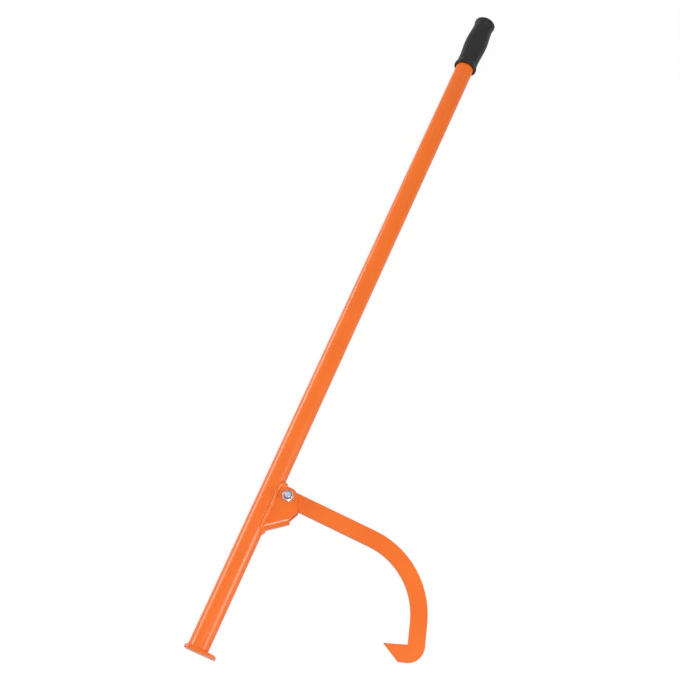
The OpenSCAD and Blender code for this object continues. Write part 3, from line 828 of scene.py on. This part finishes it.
# Floor. A wide sheet of white paper that the tool lies on. It is seen as plain white with an
# eighth of its own shade left in, which keeps the tool's soft shadow.
lowest = solid_box[0][2]
sheet_half = 20.0
sheet_mesh = bpy.data.meshes.new("floor")
sheet_mesh.from_pydata([(-sheet_half, -sheet_half, lowest), (sheet_half, -sheet_half, lowest),
                        (sheet_half, sheet_half, lowest), (-sheet_half, sheet_half, lowest)],
                       [], [(0, 1, 2, 3)])
floor = bpy.data.objects.new("floor", sheet_mesh)
bpy.context.collection.objects.link(floor)
floor_material = bpy.data.materials.new("white_paper")
floor_material.use_nodes = True
floor_tree = floor_material.node_tree
floor_tree.nodes.clear()
ray = add(floor_tree, "ShaderNodeLightPath")
mirrored = add(floor_tree, "ShaderNodeMath", {"operation": "MULTIPLY", 1: 0.4},
               {0: ray.outputs["Is Glossy Ray"]})
seen = add(floor_tree, "ShaderNodeMath", {"operation": "MAXIMUM"},
           {0: ray.outputs["Is Camera Ray"], 1: mirrored.outputs["Value"]})
share_seen = add(floor_tree, "ShaderNodeMath", {"operation": "MULTIPLY", 1: 0.88},
                 {0: seen.outputs["Value"]})
paper = add(floor_tree, "ShaderNodeBsdfDiffuse", {"Color": linear("#CDCDCB")})
glow = add(floor_tree, "ShaderNodeEmission", {"Color": linear("#FFFFFF"), "Strength": 1.06})
paper_mix = add(floor_tree, "ShaderNodeMixShader",
                links={0: share_seen.outputs["Value"], 1: paper.outputs["BSDF"],
                       2: glow.outputs["Emission"]})
add(floor_tree, "ShaderNodeOutputMaterial", links={"Surface": paper_mix.outputs["Shader"]})
sheet_mesh.materials.append(floor_material)

# Studio. A white room gives even light. A long strip on the left, which stands higher at the
# toe, draws the bright line down the tube. A broad panel on the right draws the second one,
# and a panel in front lights the folds.
world = bpy.data.worlds.new("white_room")
bpy.context.scene.world = world
world.use_nodes = True
room = world.node_tree
room.nodes.clear()
room_ray = add(room, "ShaderNodeLightPath")
room_way = add(room, "ShaderNodeSeparateXYZ",
               links={"Vector": add(room, "ShaderNodeTexCoord").outputs["Generated"]})
# The room is dimmer near its floor than overhead
even_light = add(room, "ShaderNodeMapRange",
                 {"From Min": 0.05, "From Max": 0.75, "To Min": 0.20, "To Max": 0.62},
                 {"Value": room_way.outputs["Z"]})
shine_light = add(room, "ShaderNodeMapRange",
                  {"From Min": 0.05, "From Max": 0.6, "To Min": 0.26, "To Max": 0.72},
                  {"Value": room_way.outputs["Z"]})
shine_part = add(room, "ShaderNodeMix", {"data_type": "FLOAT"},
                 {0: room_ray.outputs["Is Glossy Ray"], 2: even_light.outputs["Result"],
                  3: shine_light.outputs["Result"]})
camera_part = add(room, "ShaderNodeMix", {"data_type": "FLOAT", 3: 1.0},
                  {0: room_ray.outputs["Is Camera Ray"], 2: shine_part.outputs[0]})
room_white = add(room, "ShaderNodeBackground", {"Color": linear("#FFFFFF")},
                 {"Strength": camera_part.outputs[0]})
add(room, "ShaderNodeOutputWorld", links={"Surface": room_white.outputs["Background"]})


def panel(name, way, distance, aim, width, length, watts, lie=(0, 1, 0)):
    """A soft panel that stands off from a point in one direction, with its length in another"""
    lamp = bpy.data.lights.new(name, "AREA")
    lamp.shape = "RECTANGLE"
    lamp.size = width
    lamp.size_y = length
    lamp.energy = watts
    stand = bpy.data.objects.new(name, lamp)
    bpy.context.collection.objects.link(stand)
    back = Vector(way).normalized()
    long_way = (Vector(lie) - back * back.dot(Vector(lie))).normalized()
    across = long_way.cross(back)
    turn = Matrix((across, long_way, back)).transposed()
    stand.matrix_world = Matrix.Translation(Vector(aim) + back * distance) @ turn.to_4x4()


panel("left_strip", way=(-0.96, 0.10, 0.18), distance=1.7, aim=(0, 0.54, 0),
      width=0.32, length=1.9, watts=20, lie=(0, 1, -0.42))
panel("right_panel", way=(0.93, 0.16, 0.30), distance=2.4, aim=(0, 0.08, 0),
      width=1.2, length=0.54, watts=15)
panel("front_panel", way=(0.27, -0.35, 0.90), distance=3.0, aim=(0.05, 0.30, 0),
      width=0.56, length=0.56, watts=37)

# Camera. It looks down on the tool from above the toe, a little to the hook's side, and
# stands so far off that the long tube narrows only a little.
turn_round = math.radians(22.922)
look_down = math.radians(66.737)
looked_at = Vector((0.000221, 0.530739, 0))
stand_off = 1.774357
# The view is this many pixels deep, for a picture this many pixels wide
view_depth = 1100
picture_width = 680
seen_right = Vector((math.cos(turn_round), math.sin(turn_round), 0))
seen_back = Vector((math.sin(turn_round) * math.cos(look_down),
                    -math.cos(turn_round) * math.cos(look_down), math.sin(look_down)))
seen_up = seen_back.cross(seen_right)
lens = bpy.data.cameras.new("camera")
lens.sensor_width = 36
lens.lens = lens.sensor_width * view_depth / picture_width
lens.clip_end = 50
camera = bpy.data.objects.new("camera", lens)
bpy.context.collection.objects.link(camera)
camera_turn = Matrix((seen_right, seen_up, seen_back)).transposed()
camera_spot = looked_at + seen_back * stand_off
camera.matrix_world = Matrix.Translation(camera_spot) @ camera_turn.to_4x4()
bpy.context.scene.camera = camera
bpy.context.scene.view_settings.view_transform = "Standard"
